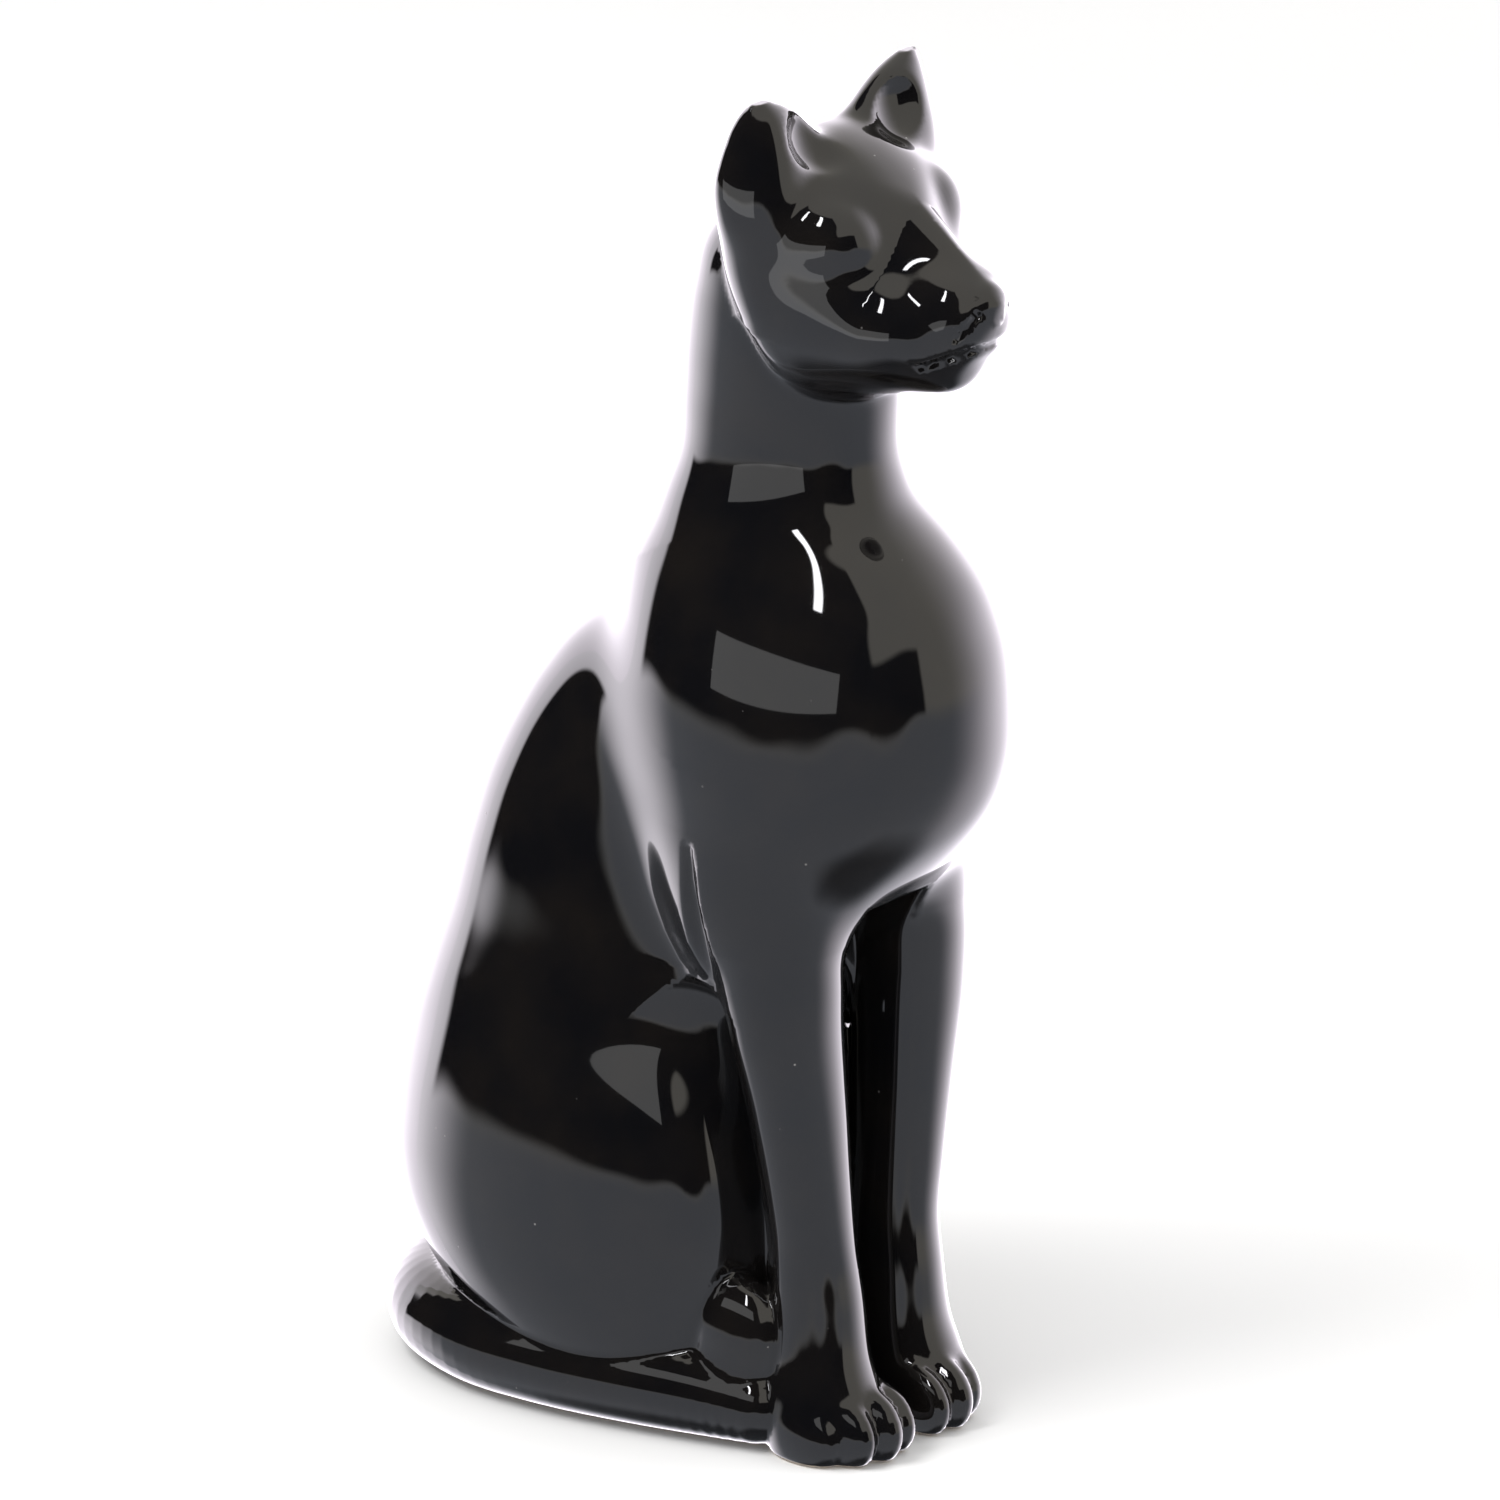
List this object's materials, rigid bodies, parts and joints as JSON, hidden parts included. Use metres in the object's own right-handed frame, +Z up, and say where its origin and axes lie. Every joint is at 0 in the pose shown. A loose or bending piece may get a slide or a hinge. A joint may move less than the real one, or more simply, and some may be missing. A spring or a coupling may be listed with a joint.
{
  "type": "seated cat figurine",
  "caption": "Upright seated cat in black gloss-glazed ceramic, hollow cast, tail wrapped round one side, with a flat base to stand on a shelf.",
  "frame": {"origin": "middle of the box round the base, on the plane that the figurine stands on", "axes": "+Z up through the head, the cat faces -Y, +X is the cat's left side, and its tail is wrapped round its right side at -X"},
  "size_m": [0.088, 0.152, 0.2955],
  "materials": {
    "black_glaze": "gloss",
    "base_clay": "matte"
  },
  "bodies": {
    "root": {"body_casting": "black_glaze", "head": "black_glaze", "right_ear": "black_glaze", "left_ear": "black_glaze", "right_foreleg": "black_glaze", "left_foreleg": "black_glaze", "right_hind_paw": "black_glaze", "left_hind_paw": "black_glaze", "tail": "black_glaze", "base_floor": "base_clay"}
  },
  "joints": []
}
